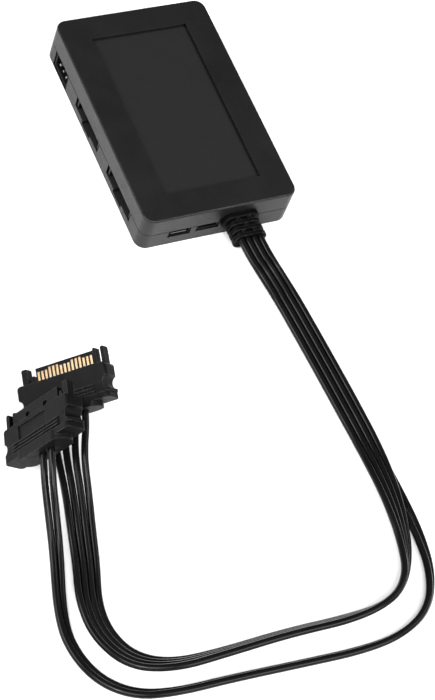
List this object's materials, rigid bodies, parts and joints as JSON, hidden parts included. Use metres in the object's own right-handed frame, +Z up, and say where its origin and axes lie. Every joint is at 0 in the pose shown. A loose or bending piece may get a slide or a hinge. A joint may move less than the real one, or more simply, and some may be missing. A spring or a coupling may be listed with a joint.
{
  "type": "pc fan controller hub",
  "caption": "Flat black box that powers and controls computer case fans, with side sockets and a cable to drive-power plugs.",
  "frame": {"origin": "middle of the underside of the case", "axes": "+X across the short way of the case, +Y along its length away from the cable, +Z up out of the recessed face"},
  "size_m": [0.1215, 0.2239, 0.0311],
  "materials": {
    "case_plastic": "fine satin texture",
    "socket_plastic": "smooth satin",
    "grey_plastic": "smooth satin",
    "black_plating": "black plated",
    "plug_plastic": "smooth satin",
    "gland_rubber": "matt",
    "wire_insulation": "satin",
    "gold_plating": "bright plated",
    "tin_plating": "bright plated",
    "screw_steel": "dark plated",
    "board_laminate": "satin lacquer",
    "chip_resin": "matt",
    "inductor_ferrite": "matt",
    "capacitor_body": "satin",
    "crystal_can": "satin"
  },
  "bodies": {
    "root": {"top_cover": "case_plastic", "bottom_cover": "case_plastic", "case_screws": "screw_steel", "circuit_board": "board_laminate", "controller_chip": "chip_resin", "fan_driver_chips": "chip_resin", "voltage_regulator": "chip_resin", "power_inductor": "inductor_ferrite", "capacitors": "capacitor_body", "timing_crystal": "crystal_can", "pin_header_housing": "socket_plastic", "pin_header_pins": "tin_plating", "fan_socket_1": "socket_plastic", "fan_socket_1_contacts": "gold_plating", "fan_socket_2": "socket_plastic", "fan_socket_2_contacts": "gold_plating", "data_socket_shell": "black_plating", "data_socket_tongue": "grey_plastic", "aux_socket": "socket_plastic", "aux_socket_pins": "tin_plating", "strain_relief": "gland_rubber", "inner_leads": "wire_insulation", "rear_wire_1": "wire_insulation", "rear_wire_2": "wire_insulation", "rear_wire_3": "wire_insulation", "rear_wire_4": "wire_insulation", "front_wire_1": "wire_insulation", "front_wire_2": "wire_insulation", "rear_plug_housing": "plug_plastic", "rear_plug_contacts": "gold_plating", "rear_plug_wire_cover": "plug_plastic", "front_plug_housing": "plug_plastic", "front_plug_contacts": "gold_plating", "front_plug_wire_cover": "plug_plastic"}
  },
  "joints": []
}
